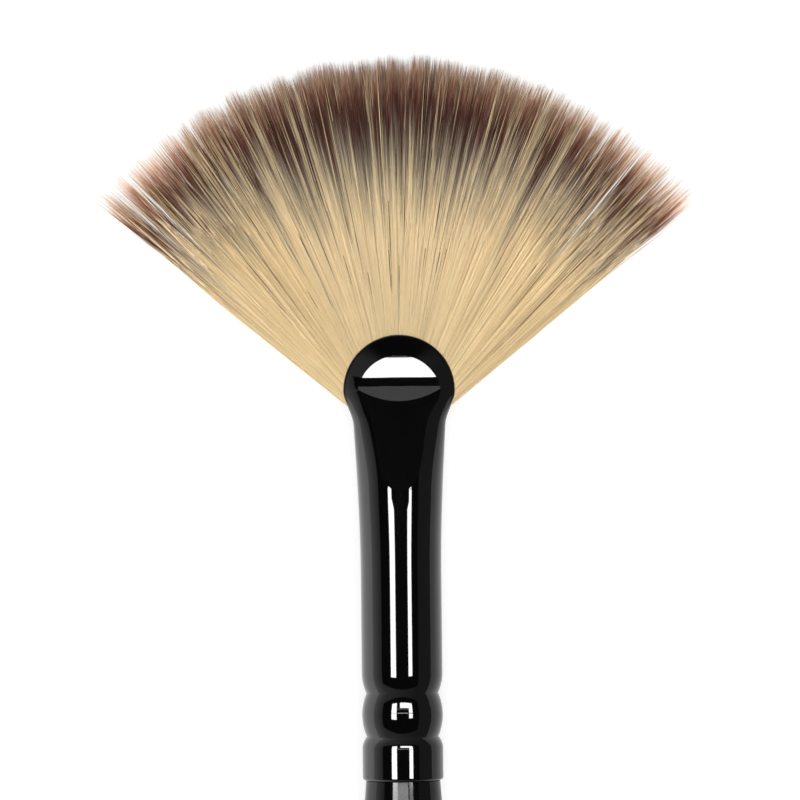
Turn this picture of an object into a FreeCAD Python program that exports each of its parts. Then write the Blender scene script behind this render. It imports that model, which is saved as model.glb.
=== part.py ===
# Fan-shaped make-up brush, lying at rest on a table
#
# Units are millimetres and degrees. Each piece is built upright in the brush's own frame: the axis is +Z
# towards the bristle tips, the width of the fan is X, its thickness is Y, and the origin is on the axis at
# the ferrule's lower edge. One placement then lays every piece down, with the tips towards +Y.
import FreeCAD, Part
import math
import os
import re

import Sketcher

Vector = FreeCAD.Vector
doc = FreeCAD.newDocument("highlighter_brush")

# Driving dimensions: alias, value and what it measures
SIZES = {
    # Walls and fits
    "wall": (0.35, "sheet thickness of the ferrule"),
    "fit_clearance": (0.05, "gap between the ferrule and what it holds, and between stacked pieces"),
    # Round part of the ferrule, from its lower edge upwards
    "body_radius": (4.05, "outside of the round tube"),
    "edge_round": (0.3, "rounding of the lower edge"),
    "collar_height": (3.15, "straight collar below the lower groove"),
    "collar_flank": (1.2, "curved flank from the collar to the bottom of the lower groove"),
    "bead_length": (4.33, "from groove to groove"),
    "shoulder_flank": (2.0, "curved flank from the upper groove to the tube"),
    "groove_depth": (0.45, "depth of both grooves"),
    "tube_length": (10.0, "round tube from the crimp to where it starts to widen"),
    # Flattened part of the ferrule
    "flattening_length": (14.9, "from where the tube starts to widen to the waist"),
    "press_delay": (2.4, "from there to where the faces start to be pressed flat"),
    "waist_half_width": (4.62, "half width of the narrow place below the flare"),
    "waist_half_thickness": (2.33, "half thickness there"),
    "waist_press_slope": (0.3, "how fast the faces close at the waist"),
    "waist_flare_slope": (0.06, "how fast the sides open at the waist"),
    "crease_slope": (0.1, "how fast the faces still close at the crease below the flat head"),
    "flare_length": (3.4, "from the waist to the crease at the middle of the rounded head"),
    "head_radius": (5.8, "rounded head, before the mouth opens its rim"),
    "head_half_thickness": (1.5, "half thickness of the head at its middle"),
    "tube_corner_angle": (45.0, "normal where side arc and face arc meet, on the round tube"),
    "waist_corner_angle": (70.0, "the same at the waist, larger being squarer"),
    "head_corner_angle": (76.0, "the same at the head"),
    "mouth_gap": (1.2, "opening between the two lips"),
    # Handle
    "tenon_above_crimp": (1.0, "tenon beyond the flank of the upper groove"),
    "tenon_chamfer": (0.5, "lead-in of the tenon"),
    "root_radius": (3.72, "handle where it leaves the ferrule"),
    "belly_radius": (5.2, "thickest place of the handle"),
    "belly_distance": (38.0, "from the ferrule to the thickest place"),
    "tail_radius": (2.7, "handle where its end starts to round off"),
    "tail_round": (2.5, "length of the rounded end"),
    "handle_length": (110.0, "handle beyond the ferrule"),
    # Glue and bristles
    "roots_in_tube": (0.9, "how far the bristle roots reach down into the round tube, to the glue"),
    "focus_drop": (5.7, "from the middle of the head down to where the fibres' lines meet"),
    "fan_half_angle": (51.0, "from the axis to the fan's lower edge"),
    "fan_radius": (39.5, "from the focus to the longest tips"),
    "fan_side_loss": (1.0, "how much shorter the outermost tips are"),
    "fan_root_radius": (3.0, "from the focus to the start of the fan inside the head"),
    "lock_start_gap": (1.0, "from the top of the lip to where the fan parts into locks"),
    "swell_distance": (12.0, "from there to the fan's thickest place"),
    "swell_half_thickness": (0.95, "half thickness of a lock's ridge at that place"),
    "brow_half_thickness": (0.7, "half thickness of a ridge where the tips begin"),
    "valley_share": (0.55, "thickness between two locks as a share of the ridge"),
    "tip_length": (5.0, "length of a lock's free tip"),
    "tip_stagger": (1.8, "how much the tips differ in length"),
    "tip_flutter": (0.15, "how far tips stand out of the middle plane"),
    "lock_count": (72, "locks across the fan"),
}

sheet = doc.addObject("Spreadsheet::Sheet", "Sizes")
for row, (alias, (number, meaning)) in enumerate(SIZES.items(), start=1):
    sheet.set(f"A{row}", alias)
    sheet.set(f"B{row}", str(number))
    sheet.set(f"C{row}", meaning)
    sheet.setAlias(f"B{row}", alias)
doc.recompute()


def size(expression):
    """The value of an expression of aliases, such as 2*wall."""
    return float(sheet.evalExpression(expression))


def bound(expression):
    """The same expression, written for another object of the document."""

    def with_sheet(word):
        """An alias with the sheet's name before it; other words, such as sin, stay."""
        return f"Sizes.{word.group()}" if word.group() in SIZES else word.group()

    return re.sub(r"[a-z_]+", with_sheet, expression)


# Heights and insets that several pieces share, as expressions of the driving dimensions
LOWER_GROOVE = "(collar_height + collar_flank)"
UPPER_GROOVE = f"({LOWER_GROOVE} + bead_length)"
CRIMP_TOP = f"({UPPER_GROOVE} + shoulder_flank)"
WIDEN_START = f"({CRIMP_TOP} + tube_length)"
WAIST = f"({WIDEN_START} + flattening_length)"
PRESS_START = f"({WIDEN_START} + press_delay)"
HEAD = f"({WAIST} + flare_length)"
FOCUS = f"({HEAD} - focus_drop)"
TENON_TOP = f"({CRIMP_TOP} + tenon_above_crimp)"
GLUE_BOTTOM = f"({TENON_TOP} + fit_clearance)"
ROOTS_BOTTOM = f"({WIDEN_START} - roots_in_tube)"
GLUE_TOP = f"({ROOTS_BOTTOM} - fit_clearance)"
HANDLE_TOP = "(-fit_clearance)"
BELLY = "(-belly_distance)"
TAIL = "(tail_round - handle_length)"
NO_INSET = "0"
HELD_INSET = "(wall + fit_clearance)"

# How many straight chords or bands follow each curve
EDGE_CHORD_COUNT = 2
SEEN_FLANK_CHORD_COUNT = 3
SEEN_BEAD_CHORD_COUNT = 6
HIDDEN_FLANK_CHORD_COUNT = 1
HIDDEN_BEAD_CHORD_COUNT = 2
ROOT_CHORD_COUNT = 4
BELLY_CHORD_COUNT = 3
TAIL_CHORD_COUNT = 2
SEWING_TOLERANCE = 1e-5


# Sketches
def new_sketch(body, name):
    """A sketch on the body's XZ plane, so that its own axes are the brush's X and Z."""
    sketch = body.newObject("Sketcher::SketchObject", name)
    plane = next(item for item in body.Origin.OriginFeatures if item.Role == "XZ_Plane")
    sketch.AttachmentSupport = [(plane, "")]
    sketch.MapMode = "FlatFace"
    return sketch


def hold(sketch, edge, point, x, z):
    """Fix one end of an edge with the expressions x and z."""
    for kind, axis, expression in (("DistanceX", -2, x), ("DistanceY", -1, z)):
        distance = size(expression)
        if distance == 0:
            sketch.addConstraint(Sketcher.Constraint("PointOnObject", edge, point, axis))
            continue
        made = sketch.addConstraint(Sketcher.Constraint(kind, -1, 1, edge, point, distance))
        sketch.setExpression(f"Constraints[{made}]", bound(expression))


def draw_profile(sketch, corners):
    """Draw a closed outline of straight edges through the (x, z) corners, and hold every corner."""
    places = [Vector(size(x), size(z), 0) for x, z in corners]
    for start, end in zip(places, places[1:] + places[:1]):
        sketch.addGeometry(Part.LineSegment(start, end), False)
    for index, (x, z) in enumerate(corners):
        following = (index + 1) % len(corners)
        sketch.addConstraint(Sketcher.Constraint("Coincident", index, 2, following, 1))
        hold(sketch, index, 1, x, z)


def turned_body(name, corners):
    """A body made by turning a profile once round the brush's axis."""
    body = doc.addObject("PartDesign::Body", name)
    sketch = new_sketch(body, f"{name}_profile")
    draw_profile(sketch, corners)
    turned = body.newObject("PartDesign::Revolution", f"{name}_turned")
    turned.Profile = sketch
    turned.ReferenceAxis = (sketch, ["V_Axis"])
    turned.Angle = 360
    body.Tip = turned
    return body


# Profiles of turned forms
def bulge(full, loss, start, end, chords):
    """Points of a parabola that leaves the radius full at the start height and has lost the loss at the end.

    The chords between the points stay inside the true curve. Both ends are among the points.
    """
    points = []
    for step in range(chords + 1):
        share = f"{step} / {chords}"
        points.append((f"({full} - {loss} * ({share})^2)", f"({start} + ({end} - {start}) * {share})"))
    return points


def crimp_points(inset, flank_chords, bead_chords):
    """Collar's top, groove, bead, groove and tube's start, upwards, a given inset inside the outside."""
    full = f"(body_radius - {inset})"
    bead_middle = f"(({LOWER_GROOVE} + {UPPER_GROOVE}) / 2)"
    lower_flank = bulge(full, "groove_depth", "collar_height", LOWER_GROOVE, flank_chords)
    lower_bead = bulge(full, "groove_depth", bead_middle, LOWER_GROOVE, bead_chords // 2)
    upper_bead = bulge(full, "groove_depth", bead_middle, UPPER_GROOVE, bead_chords // 2)
    upper_flank = bulge(full, "groove_depth", CRIMP_TOP, UPPER_GROOVE, flank_chords)
    return lower_flank + lower_bead[-2::-1] + upper_bead[1:] + upper_flank[-2::-1]


def tube_outside():
    """Collar, groove, bead, groove and round tube, with the rounded lower edge."""
    corners = [("0", "0")]
    for step in range(EDGE_CHORD_COUNT + 1):
        turn = f"(90 * {step} / {EDGE_CHORD_COUNT})"
        corners.append(
            (f"(body_radius - edge_round * (1 - sin({turn})))", f"(edge_round * (1 - cos({turn})))")
        )
    corners += crimp_points(NO_INSET, SEEN_FLANK_CHORD_COUNT, SEEN_BEAD_CHORD_COUNT)
    corners += [("body_radius", WIDEN_START), ("0", WIDEN_START)]
    return turned_body("tube_outside", corners)


def tube_bore():
    """The same form moved in by the wall, and run out past the lower edge so that it cuts clean."""
    bottom = "(-wall)"
    bore = "(body_radius - wall)"
    corners = [("0", bottom), (bore, bottom)]
    corners += crimp_points("wall", HIDDEN_FLANK_CHORD_COUNT, HIDDEN_BEAD_CHORD_COUNT)
    corners += [(bore, WIDEN_START), ("0", WIDEN_START)]
    return turned_body("tube_bore", corners)


def tube_filling(name, bottom, top):
    """A round plug that fills the tube between two heights."""
    radius = f"(body_radius - {HELD_INSET})"
    return turned_body(name, [("0", bottom), (radius, bottom), (radius, top), ("0", top)])


# Flattened part of the ferrule
def glide(start, end, start_slope, end_slope, length, share):
    """Cubic from start to end over a length, with the given slopes, at a share of the length."""
    rise = end - start
    bend = 3 * rise - (2 * start_slope + end_slope) * length
    twist = (start_slope + end_slope) * length - 2 * rise
    return start + start_slope * length * share + bend * share**2 + twist * share**3


class Oval:
    """Four-centred oval: two side arcs and two face arcs that meet smoothly at the corner angle."""

    def __init__(self, half_width, half_thickness, corner_angle):
        cosine, sine = math.cos(math.radians(corner_angle)), math.sin(math.radians(corner_angle))
        spread = (half_width - half_thickness) / (cosine + sine - 1)
        self.corner_angle = corner_angle
        self.side = half_width - spread * cosine
        self.face = self.side + spread
        self.right = half_width - self.side
        self.front = half_thickness - self.face

    def arcs(self):
        """Eight arcs (centre x, centre y, radius, first and last angle), from the back through the right."""
        corner = self.corner_angle
        return [
            (0, -self.front, self.face, 270, 360 - corner),
            (self.right, 0, self.side, -corner, 0),
            (self.right, 0, self.side, 0, corner),
            (0, self.front, self.face, corner, 90),
            (0, self.front, self.face, 90, 180 - corner),
            (-self.right, 0, self.side, 180 - corner, 180),
            (-self.right, 0, self.side, 180, 180 + corner),
            (0, -self.front, self.face, 180 + corner, 270),
        ]

    def thickness_at(self, reach):
        """Half thickness at a distance from the middle."""
        if reach < self.right + self.side * math.cos(math.radians(self.corner_angle)):
            return self.front + math.sqrt(self.face**2 - reach**2)
        return math.sqrt(self.side**2 - (reach - self.right) ** 2)


def arc_edges(arc, height, facets):
    """An arc of the oval at a height, or that many straight edges along it."""
    x, y, radius, first, last = arc
    count = facets or 2
    points = []
    for step in range(count + 1):
        angle = math.radians(first + (last - first) * step / count)
        points.append(Vector(x + radius * math.cos(angle), y + radius * math.sin(angle), height))
    if facets:
        return [Part.makeLine(start, end) for start, end in zip(points, points[1:])]
    return [Part.Arc(*points).toShape()]


class Finish:
    """How closely a flattened form is followed: its bands, and facets for an arc or none for a true arc."""

    def __init__(self, widening_bands, pressed_bands, flare_bands, head_bands, facets):
        self.widening_bands = widening_bands
        self.pressed_bands = pressed_bands
        self.flare_bands = flare_bands
        self.head_bands = head_bands
        self.facets = facets


SEEN = Finish(widening_bands=2, pressed_bands=6, flare_bands=6, head_bands=8, facets=0)
CAVITY = Finish(widening_bands=2, pressed_bands=4, flare_bands=4, head_bands=5, facets=3)
HELD = Finish(widening_bands=2, pressed_bands=4, flare_bands=4, head_bands=0, facets=3)
# The rounded head is followed up to this angle above its middle; the mouth takes the rest
RIM_ANGLE = 80.0


def shares(bands):
    """Even shares up to 1, one for the end of each band."""
    return [step / bands for step in range(1, bands + 1)]


def neck_oval(inset, height):
    """Section of the neck at a height up to the waist: it widens all the way and is pressed flat higher up."""
    start, press, waist = size(WIDEN_START), size(PRESS_START), size(WAIST)
    neck = size("body_radius") - inset
    widened = (height - start) / (waist - start)
    pressed = max(0.0, (height - press) / (waist - press))
    width = glide(neck, size("waist_half_width") - inset, 0, size("waist_flare_slope"), waist - start, widened)
    closing = -size("waist_press_slope")
    thickness = glide(neck, size("waist_half_thickness") - inset, 0, closing, waist - press, pressed)
    corner = glide(size("tube_corner_angle"), size("waist_corner_angle"), 0, 0, waist - press, pressed)
    return Oval(width, thickness, corner)


def flare_oval(inset, share):
    """Section between the waist and the crease, at a share of that length."""
    flare = size("flare_length")
    waist_width, waist_thickness = size("waist_half_width") - inset, size("waist_half_thickness") - inset
    head_width, head_thickness = size("head_radius") - inset, size("head_half_thickness") - inset
    closing, crease = -size("waist_press_slope"), -size("crease_slope")
    return Oval(
        glide(waist_width, head_width, size("waist_flare_slope"), 0, flare, share),
        glide(waist_thickness, head_thickness, closing, crease, flare, share),
        glide(size("waist_corner_angle"), size("head_corner_angle"), 0, 0, flare, share),
    )


def flattened_sections(inset, finish):
    """The ovals from the round tube to the top of the head, each with its height."""
    start, press, waist, head = size(WIDEN_START), size(PRESS_START), size(WAIST), size(HEAD)
    heights = [start]
    heights += [start + (press - start) * share for share in shares(finish.widening_bands)]
    heights += [press + (waist - press) * share for share in shares(finish.pressed_bands)]
    sections = [(neck_oval(inset, height), height) for height in heights]
    for share in shares(finish.flare_bands):
        sections.append((flare_oval(inset, share), waist + (head - waist) * share))
    middle = sections[-1][0]
    head_width = size("head_radius") - inset
    for share in shares(finish.head_bands):
        angle = math.radians(RIM_ANGLE * share)
        rise = head_width * math.sin(angle)
        oval = Oval(head_width * math.cos(angle), middle.thickness_at(rise), middle.corner_angle)
        sections.append((oval, head + rise))
    return sections


def flattened_form(name, inset, finish):
    """Ruled loft from the round tube through the flare to the rounded top of the head.

    What is held inside has the cavity's own bands, so that the clearance between them is even, and it has no
    rounded top.
    """
    wires = []
    for oval, height in flattened_sections(size(inset), finish):
        edges = [edge for arc in oval.arcs() for edge in arc_edges(arc, height, finish.facets)]
        wires.append(Part.Wire(edges))
    form = doc.addObject("Part::Feature", name)
    form.Shape = Part.makeLoft(wires, True, True)
    return form


def mouth_cutter():
    """The slot between the lips: a flat sector that clears the fan on every side."""
    apex = f"({FOCUS} - fit_clearance / sin(fan_half_angle))"
    top = f"({HEAD} + head_radius + wall)"
    reach = f"(({top} - {apex}) * tan(fan_half_angle))"
    body = doc.addObject("PartDesign::Body", "mouth")
    sketch = new_sketch(body, "mouth_sector")
    draw_profile(sketch, [("0", apex), (reach, top), (f"(-{reach})", top)])
    slot = body.newObject("PartDesign::Pad", "mouth_slot")
    slot.Profile = sketch
    slot.SideType = "Symmetric"
    slot.setExpression("Length", bound("mouth_gap"))
    body.Tip = slot
    return body


def fused(name, pieces):
    """One form of several."""
    form = doc.addObject("Part::MultiFuse", name)
    form.Shapes = pieces
    return form


# Sub-parts
def ferrule():
    """Thin tube with two crimp grooves, pressed flat at the top to a rounded head with an open mouth."""
    outside = fused("ferrule_outside", [tube_outside(), flattened_form("head_outside", NO_INSET, SEEN)])
    hollow = [tube_bore(), flattened_form("head_cavity", "wall", CAVITY), mouth_cutter()]
    shell = doc.addObject("Part::Cut", "ferrule")
    shell.Base = outside
    shell.Tool = fused("ferrule_hollow", hollow)
    return shell


def belly_points():
    """The handle's long profile, from the ferrule through the thickest place to the start of the end."""
    swelling = bulge("belly_radius", "(belly_radius - root_radius)", BELLY, HANDLE_TOP, ROOT_CHORD_COUNT)
    thinning = bulge("belly_radius", "(belly_radius - tail_radius)", BELLY, TAIL, BELLY_CHORD_COUNT)
    return swelling[::-1] + thinning[1:]


def tail_points():
    """The rounded end: a quarter of an ellipse down to the axis."""
    points = []
    for step in range(1, TAIL_CHORD_COUNT):
        turn = f"(90 * {step} / {TAIL_CHORD_COUNT})"
        points.append((f"(tail_radius * cos({turn}))", f"({TAIL} - tail_round * sin({turn}))"))
    return points + [("0", f"({TAIL} - tail_round)")]


def handle():
    """Turned handle: tenon with the grooves that the crimp grips, long belly and rounded end."""
    tenon = f"(body_radius - {HELD_INSET})"
    corners = [("0", TENON_TOP), (f"({tenon} - tenon_chamfer)", TENON_TOP)]
    corners += [(tenon, f"({TENON_TOP} - tenon_chamfer)")]
    corners += crimp_points(HELD_INSET, HIDDEN_FLANK_CHORD_COUNT, HIDDEN_BEAD_CHORD_COUNT)[::-1]
    corners += [(tenon, HANDLE_TOP)]
    corners += belly_points() + tail_points()
    return turned_body("handle", corners)


def glue_plug():
    """Cured glue that holds the bristle roots, between them and the tenon."""
    return tube_filling("glue_plug", GLUE_BOTTOM, GLUE_TOP)


class Fan:
    """The spread bristles: a flat root that parts into ridged locks, each with a free pointed tip."""

    def __init__(self):
        self.half_angle = math.radians(size("fan_half_angle"))
        self.lock_count = round(size("lock_count"))
        self.lock_angle = 2 * self.half_angle / self.lock_count
        self.focus = size(FOCUS)
        self.root = size("fan_root_radius")
        self.flat = size("mouth_gap / 2 - fit_clearance")
        self.start = size("focus_drop + head_radius + lock_start_gap")
        self.swell = self.start + size("swell_distance")
        self.swell_ridge = size("swell_half_thickness")
        self.swell_valley = size("swell_half_thickness * valley_share")
        self.brow_ridge = size("brow_half_thickness")
        self.brow_valley = size("brow_half_thickness * valley_share")
        self.faces = []

    def place(self, distance, angle, thickness):
        """A point of the fan; the angle runs from the axis towards +X."""
        height = self.focus + distance * math.cos(angle)
        return Vector(distance * math.sin(angle), thickness, height)

    def spread(self, number):
        """Even but irregular shares from 0 to 1, so that neighbouring locks differ."""
        golden = (math.sqrt(5) - 1) / 2
        return (number * golden) % 1

    def tip_distance(self, angle, share):
        """How far a tip reaches at an angle, less its share of the stagger."""
        side_loss = size("fan_side_loss") * (angle / self.half_angle) ** 2
        return size("fan_radius") - side_loss - size("tip_stagger") * share

    def add(self, *points):
        """Add one flat face."""
        self.faces.append(Part.Face(Part.makePolygon([*points, points[0]])))

    def add_root(self, valleys):
        """Two broad faces, two side faces and the end inside the ferrule."""
        for side in (1, -1):
            flat = side * self.flat
            start_row = [self.place(self.start, angle, flat) for angle, notch in valleys]
            root_row = [self.place(self.root, angle, flat) for angle in (self.half_angle, -self.half_angle)]
            self.add(*start_row, *root_row)
        for angle, notch in (valleys[0], valleys[-1]):
            rows = [
                (self.root, self.flat),
                (self.start, self.flat),
                (self.swell, self.swell_valley),
                (notch, self.brow_valley),
            ]
            front = [self.place(distance, angle, thickness) for distance, thickness in rows]
            back = [self.place(distance, angle, -thickness) for distance, thickness in rows]
            self.add(*front, *reversed(back))
        left, right = -self.half_angle, self.half_angle
        corners = ((left, self.flat), (right, self.flat), (right, -self.flat), (left, -self.flat))
        self.add(*[self.place(self.root, angle, thickness) for angle, thickness in corners])

    def add_lock(self, left, right, tip):
        """Ridge, swell and pointed tip of one lock between two valleys, on both sides."""
        (left_angle, left_notch), (right_angle, right_notch) = left, right
        middle = (left_angle + right_angle) / 2
        brow = (left_notch + right_notch) / 2
        for side in (1, -1):
            foot_left = self.place(self.start, left_angle, side * self.flat)
            foot_right = self.place(self.start, right_angle, side * self.flat)
            swell_left = self.place(self.swell, left_angle, side * self.swell_valley)
            swell_middle = self.place(self.swell, middle, side * self.swell_ridge)
            swell_right = self.place(self.swell, right_angle, side * self.swell_valley)
            brow_left = self.place(left_notch, left_angle, side * self.brow_valley)
            brow_middle = self.place(brow, middle, side * self.brow_ridge)
            brow_right = self.place(right_notch, right_angle, side * self.brow_valley)
            self.add(foot_left, foot_right, swell_middle)
            self.add(foot_left, swell_middle, swell_left)
            self.add(foot_right, swell_right, swell_middle)
            self.add(swell_left, swell_middle, brow_middle)
            self.add(swell_left, brow_middle, brow_left)
            self.add(swell_middle, swell_right, brow_right)
            self.add(swell_middle, brow_right, brow_middle)
            self.add(brow_left, brow_middle, tip)
            self.add(brow_middle, brow_right, tip)
        for angle, notch in (left, right):
            upper = self.place(notch, angle, self.brow_valley)
            lower = self.place(notch, angle, -self.brow_valley)
            self.add(upper, tip, lower)

    def solid(self):
        """Sew all the faces into one solid."""
        valleys = []
        for number in range(self.lock_count + 1):
            angle = -self.half_angle + self.lock_angle * number
            notch = self.tip_distance(angle, self.spread(number + 0.5)) - size("tip_length")
            valleys.append((angle, notch))
        self.add_root(valleys)
        for number in range(self.lock_count):
            left, right = valleys[number], valleys[number + 1]
            middle = (left[0] + right[0]) / 2
            lift = size("tip_flutter") * (2 * self.spread(3 * number + 1) - 1)
            tip = self.place(self.tip_distance(middle, self.spread(number)), middle, lift)
            self.add_lock(left, right, tip)
        shell = Part.Compound(self.faces)
        shell.sewShape(SEWING_TOLERANCE)
        solid = Part.Solid(shell.Shells[0])
        if solid.Volume < 0:
            solid.reverse()
        return solid


def bristles():
    """Roots that fill the ferrule above the glue, squeezed flat in the mouth and spread beyond it."""
    roots = tube_filling("roots", ROOTS_BOTTOM, WIDEN_START)
    squeezed = flattened_form("squeezed_roots", HELD_INSET, HELD)
    spread = doc.addObject("Part::Feature", "fan")
    spread.Shape = Fan().solid()
    return fused("bristles", [roots, squeezed, spread])


# Rest on the table
def resting_placement():
    """Lay the brush on the handle's belly and on the tube's lowest line, where the faces start to be pressed.

    The table is the steepest line from the tube's edge over the corners of the belly's profile. The middle
    of the whole length comes to the origin, and the table is at zero height.
    """
    edge_radius, edge_height = size("body_radius"), size(PRESS_START)
    slopes = []
    for radius, height in belly_points():
        slopes.append((size(radius) - edge_radius) / (edge_height - size(height)))
    tilt = math.atan(max(slopes))
    lift = edge_radius * math.cos(tilt) + edge_height * math.sin(tilt)
    middle = size(f"({FOCUS} + fan_radius - handle_length) / 2") * math.cos(tilt)
    turn = FreeCAD.Rotation(Vector(1, 0, 0), -90 - math.degrees(tilt))
    return FreeCAD.Placement(Vector(0, -middle, lift), turn)


SUB_PARTS = [handle(), ferrule(), glue_plug(), bristles()]
placement = resting_placement()
for piece in SUB_PARTS:
    piece.Label = piece.Name
    piece.Placement = placement
doc.recompute()

# Checks, and then the files
for item in doc.Objects:
    if "Invalid" in item.State or "Error" in item.State:
        raise RuntimeError(f"{item.Name} failed: {item.State}")
for piece in SUB_PARTS:
    if piece.Shape.isNull() or not piece.Shape.isValid():
        raise RuntimeError(f"{piece.Label} has no valid shape")
    if len(piece.Shape.Solids) != 1:
        raise RuntimeError(f"{piece.Label} is not one solid")

os.makedirs("parts", exist_ok=True)
for piece in SUB_PARTS:
    piece.Shape.exportStep(f"parts/{piece.Label}.step")
    box = piece.Shape.optimalBoundingBox(False)
    print(f"{piece.Label}: {piece.Shape.Volume:.1f} mm3, {box}")
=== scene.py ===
"""Looks of a fan-shaped make-up brush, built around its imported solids.

Shapes are worked out in millimetres in the brush's own frame: x across the fan, up away from the table, and
along the axis from the ferrule's lower edge towards the tips. Lie.place brings them to the solids' frame.
"""

import logging
import math
from dataclasses import dataclass, field
from enum import Enum

import bmesh
import bpy
import numpy as np
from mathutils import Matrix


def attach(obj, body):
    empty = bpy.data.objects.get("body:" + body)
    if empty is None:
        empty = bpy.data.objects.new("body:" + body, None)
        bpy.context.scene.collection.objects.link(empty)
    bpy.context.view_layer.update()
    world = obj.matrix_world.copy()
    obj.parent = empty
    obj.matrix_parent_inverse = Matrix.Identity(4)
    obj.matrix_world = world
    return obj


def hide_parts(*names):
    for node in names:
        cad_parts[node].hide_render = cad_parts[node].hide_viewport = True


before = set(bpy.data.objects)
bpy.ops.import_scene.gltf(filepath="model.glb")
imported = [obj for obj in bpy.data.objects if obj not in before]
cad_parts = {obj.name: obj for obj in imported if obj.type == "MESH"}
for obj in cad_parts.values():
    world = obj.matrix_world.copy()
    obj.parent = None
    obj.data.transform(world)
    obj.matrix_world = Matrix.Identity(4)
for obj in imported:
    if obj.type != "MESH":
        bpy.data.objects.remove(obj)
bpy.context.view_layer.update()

MM = 0.001
WELD_METRES = 0.000004
SAME_PLACE = 0.001
SAME_ANGLE = 0.00001
Array = np.ndarray
Colour = tuple[float, float, float]
LOG = logging.getLogger("fan_brush")


# Curves
def smooth_step(value: Array, low: float | Array, high: float | Array) -> Array:
    """Rise from 0 at low to 1 at high along the cubic 3t^2 - 2t^3.

    Args:
        value: where to read the curve.
        low: where it leaves 0.
        high: where it reaches 1.

    Returns:
        The height of the curve at each value.
    """
    share = np.clip((np.asarray(value, dtype=float) - low) / (high - low), 0.0, 1.0)
    return share * share * (3.0 - 2.0 * share)


def glide(
    ends: tuple[float, float], slopes: tuple[float, float], span: tuple[float, float], value: Array
) -> Array:
    """Cubic that joins two values with two given slopes, held level outside its range.

    Args:
        ends: first and last value.
        slopes: first and last slope.
        span: where the curve starts and ends.
        value: where to read the curve.

    Returns:
        The height of the curve at each value.
    """
    length = span[1] - span[0]
    share = np.clip((np.asarray(value, dtype=float) - span[0]) / length, 0.0, 1.0)
    rise = ends[1] - ends[0]
    bend = 3.0 * rise - (2.0 * slopes[0] + slopes[1]) * length
    twist = (slopes[0] + slopes[1]) * length - 2.0 * rise
    return ends[0] + slopes[0] * length * share + bend * share**2 + twist * share**3


# Meshes
def mesh_object(name: str, points: Array, faces: Array, uv: Array | None = None) -> bpy.types.Object:
    """Make a smooth mesh object at the origin from whole arrays.

    Args:
        name: name of the piece.
        points: places in metres, one row each.
        faces: corner numbers, one row for each three- or four-sided face.
        uv: texture place of each point, or None.

    Returns:
        The new object, linked to the scene.
    """
    mesh = bpy.data.meshes.new(name)
    sides = faces.shape[1]
    mesh.vertices.add(len(points))
    mesh.vertices.foreach_set("co", points.astype(np.float32).ravel())
    mesh.loops.add(faces.size)
    mesh.loops.foreach_set("vertex_index", faces.astype(np.int32).ravel())
    mesh.polygons.add(len(faces))
    mesh.polygons.foreach_set("loop_start", np.arange(0, faces.size, sides, dtype=np.int32))
    mesh.polygons.foreach_set("use_smooth", np.ones(len(faces), dtype=bool))
    if uv is not None:
        layer = mesh.uv_layers.new(name="OFBake")
        layer.data.foreach_set("uv", uv[faces.ravel()].astype(np.float32).ravel())
    mesh.update(calc_edges=True)
    mesh.validate()
    item = bpy.data.objects.new(name, mesh)
    bpy.context.scene.collection.objects.link(item)
    return item


def grid_faces(rows: int, columns: int, closed: bool = False) -> Array:
    """Four-sided faces of a grid of points, numbered row by row.

    Args:
        rows: how many rows of points.
        columns: how many points in a row.
        closed: whether the last column joins the first.

    Returns:
        One row of four corner numbers for each face.
    """
    strips = columns if closed else columns - 1
    row, column = np.meshgrid(np.arange(rows - 1), np.arange(strips), indexing="ij")
    first = row * columns + column
    second = row * columns + (column + 1) % columns
    return np.stack([first, second, second + columns, first + columns], axis=-1).reshape(-1, 4)


def weld(item: bpy.types.Object) -> None:
    """Merge points that lie together and turn the faces outwards.

    Args:
        item: the mesh object.
    """
    work = bmesh.new()
    work.from_mesh(item.data)
    bmesh.ops.remove_doubles(work, verts=work.verts, dist=WELD_METRES)
    bmesh.ops.dissolve_degenerate(work, edges=work.edges, dist=WELD_METRES / 10.0)
    bmesh.ops.recalc_face_normals(work, faces=work.faces)
    work.to_mesh(item.data)
    work.free()
    item.data.update()


def hand_over(item: bpy.types.Object, finish: bpy.types.Material, node: str) -> None:
    """Dress a piece and let it stand for a solid.

    Args:
        item: the piece.
        finish: its material.
        node: the solid that it replaces.
    """
    item.data.materials.append(finish)
    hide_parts(node)
    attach(item, "root")


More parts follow.
